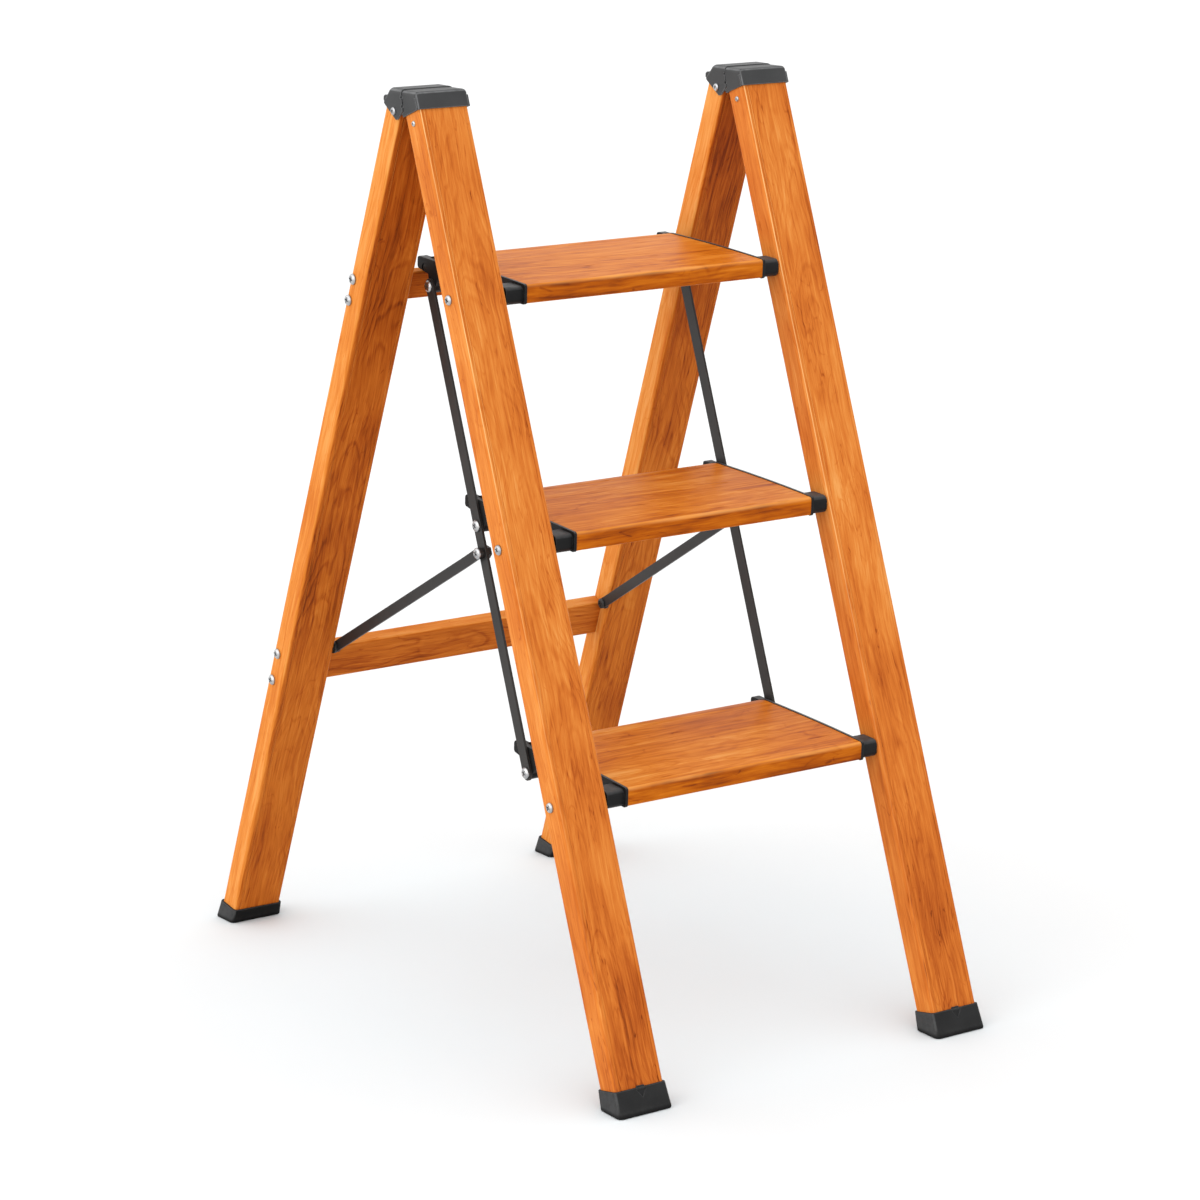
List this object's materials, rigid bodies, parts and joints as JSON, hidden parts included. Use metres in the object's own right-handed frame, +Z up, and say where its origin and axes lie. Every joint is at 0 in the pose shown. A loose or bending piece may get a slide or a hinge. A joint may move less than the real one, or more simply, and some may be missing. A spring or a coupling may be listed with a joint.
{
  "type": "folding step ladder",
  "caption": "Free-standing folding step ladder with flat treads between wood-grain metal legs; the rear frame folds forward while link bars and braces swing the treads up.",
  "frame": {"origin": "on the floor, in the middle of the open ladder's footprint", "axes": "+Z up, -Y towards the person climbing (the tread side), +X to the right seen from the front"},
  "size_m": [0.5308, 0.8313, 1.0326],
  "materials": {
    "wood_print_leg": "satin",
    "wood_print_tread": "satin",
    "cap_plastic": "satin",
    "bracket_plastic": "satin",
    "foot_rubber": "matte",
    "black_steel": "satin",
    "zinc_steel": "satin",
    "bush_nylon": "matte"
  },
  "bodies": {
    "front_frame": {"front_leg_left": "wood_print_leg", "front_leg_right": "wood_print_leg", "front_cap_left": "cap_plastic", "front_cap_right": "cap_plastic", "front_foot_left": "foot_rubber", "front_foot_right": "foot_rubber", "front_cap_screws": "zinc_steel", "step_pivot_bolts": "zinc_steel", "step_pivot_nuts": "zinc_steel"},
    "rear_frame": {"rear_leg_left": "wood_print_leg", "rear_leg_right": "wood_print_leg", "rear_cap_left": "cap_plastic", "rear_cap_right": "cap_plastic", "rear_foot_left": "foot_rubber", "rear_foot_right": "foot_rubber", "rear_crossbar_upper": "wood_print_leg", "rear_crossbar_lower": "wood_print_leg", "crossbar_bolts": "zinc_steel", "hinge_pin_left": "zinc_steel", "hinge_pin_right": "zinc_steel", "rear_cap_screws": "zinc_steel", "brace_standoff_left": "black_steel", "brace_standoff_right": "black_steel", "brace_rear_bolts": "black_steel"},
    "step_top": {"tread_top": "wood_print_tread", "bracket_top_left": "bracket_plastic", "bracket_top_right": "bracket_plastic", "pivot_bushes_top": "bush_nylon", "bracket_screws_top": "black_steel", "link_bolts_top": "zinc_steel", "link_nuts_top": "zinc_steel"},
    "step_middle": {"tread_middle": "wood_print_tread", "bracket_middle_left": "bracket_plastic", "bracket_middle_right": "bracket_plastic", "pivot_bushes_middle": "bush_nylon", "bracket_screws_middle": "black_steel", "link_bolts_middle": "zinc_steel", "link_nuts_middle": "zinc_steel"},
    "step_bottom": {"tread_bottom": "wood_print_tread", "bracket_bottom_left": "bracket_plastic", "bracket_bottom_right": "bracket_plastic", "pivot_bushes_bottom": "bush_nylon", "bracket_screws_bottom": "black_steel", "link_bolts_bottom": "zinc_steel", "link_nuts_bottom": "zinc_steel"},
    "link_left": {"link_bar_left": "black_steel", "brace_anchor_left": "black_steel"},
    "brace_left": {"brace_left": "black_steel", "brace_bolt_left": "zinc_steel", "brace_spacer_left": "black_steel"},
    "link_right": {"link_bar_right": "black_steel", "brace_anchor_right": "black_steel"},
    "brace_right": {"brace_right": "black_steel", "brace_bolt_right": "zinc_steel", "brace_spacer_right": "black_steel"}
  },
  "joints": [
    {"name": "rear_fold", "type": "hinge", "parent": "front_frame", "child": "rear_frame", "pos_m": [0, 0.01, 1.008], "axis": [-1, 0, 0], "range_deg": [0, 40]},
    {"name": "step_top_tilt", "type": "hinge", "parent": "front_frame", "child": "step_top", "pos_m": [0, -0.09341, 0.818], "axis": [1, 0, 0], "range_deg": [0, 66.75]},
    {"name": "step_middle_tilt", "type": "hinge", "parent": "front_frame", "child": "step_middle", "pos_m": [0, -0.187, 0.565], "axis": [1, 0, 0], "range_deg": [0, 66.75]},
    {"name": "step_bottom_tilt", "type": "hinge", "parent": "front_frame", "child": "step_bottom", "pos_m": [0, -0.28281, 0.306], "axis": [1, 0, 0], "range_deg": [0, 66.75]},
    {"name": "link_left_swing", "type": "hinge", "parent": "step_middle", "child": "link_left", "pos_m": [-0.1695, -0.03041, 0.553], "axis": [-1, 0, 0], "range_deg": [0, 66.75]},
    {"name": "link_right_swing", "type": "hinge", "parent": "step_middle", "child": "link_right", "pos_m": [0.1695, -0.03041, 0.553], "axis": [-1, 0, 0], "range_deg": [0, 66.75]},
    {"name": "brace_left_swing", "type": "hinge", "parent": "rear_frame", "child": "brace_left", "pos_m": [-0.17575, 0.24826, 0.35987], "axis": [-1, 0, 0], "range_deg": [0, 37.75]},
    {"name": "brace_right_swing", "type": "hinge", "parent": "rear_frame", "child": "brace_right", "pos_m": [0.17575, 0.24826, 0.35987], "axis": [-1, 0, 0], "range_deg": [0, 37.75]}
  ],
  "couplings": [
    {"joint": "step_top_tilt", "follows": "rear_fold", "ratio": 1.6675},
    {"joint": "step_middle_tilt", "follows": "rear_fold", "ratio": 1.6675},
    {"joint": "step_bottom_tilt", "follows": "rear_fold", "ratio": 1.6675},
    {"joint": "link_left_swing", "follows": "rear_fold", "ratio": 1.6675},
    {"joint": "link_right_swing", "follows": "rear_fold", "ratio": 1.6675},
    {"joint": "brace_left_swing", "follows": "rear_fold", "ratio": 0.94259},
    {"joint": "brace_right_swing", "follows": "rear_fold", "ratio": 0.94259}
  ]
}
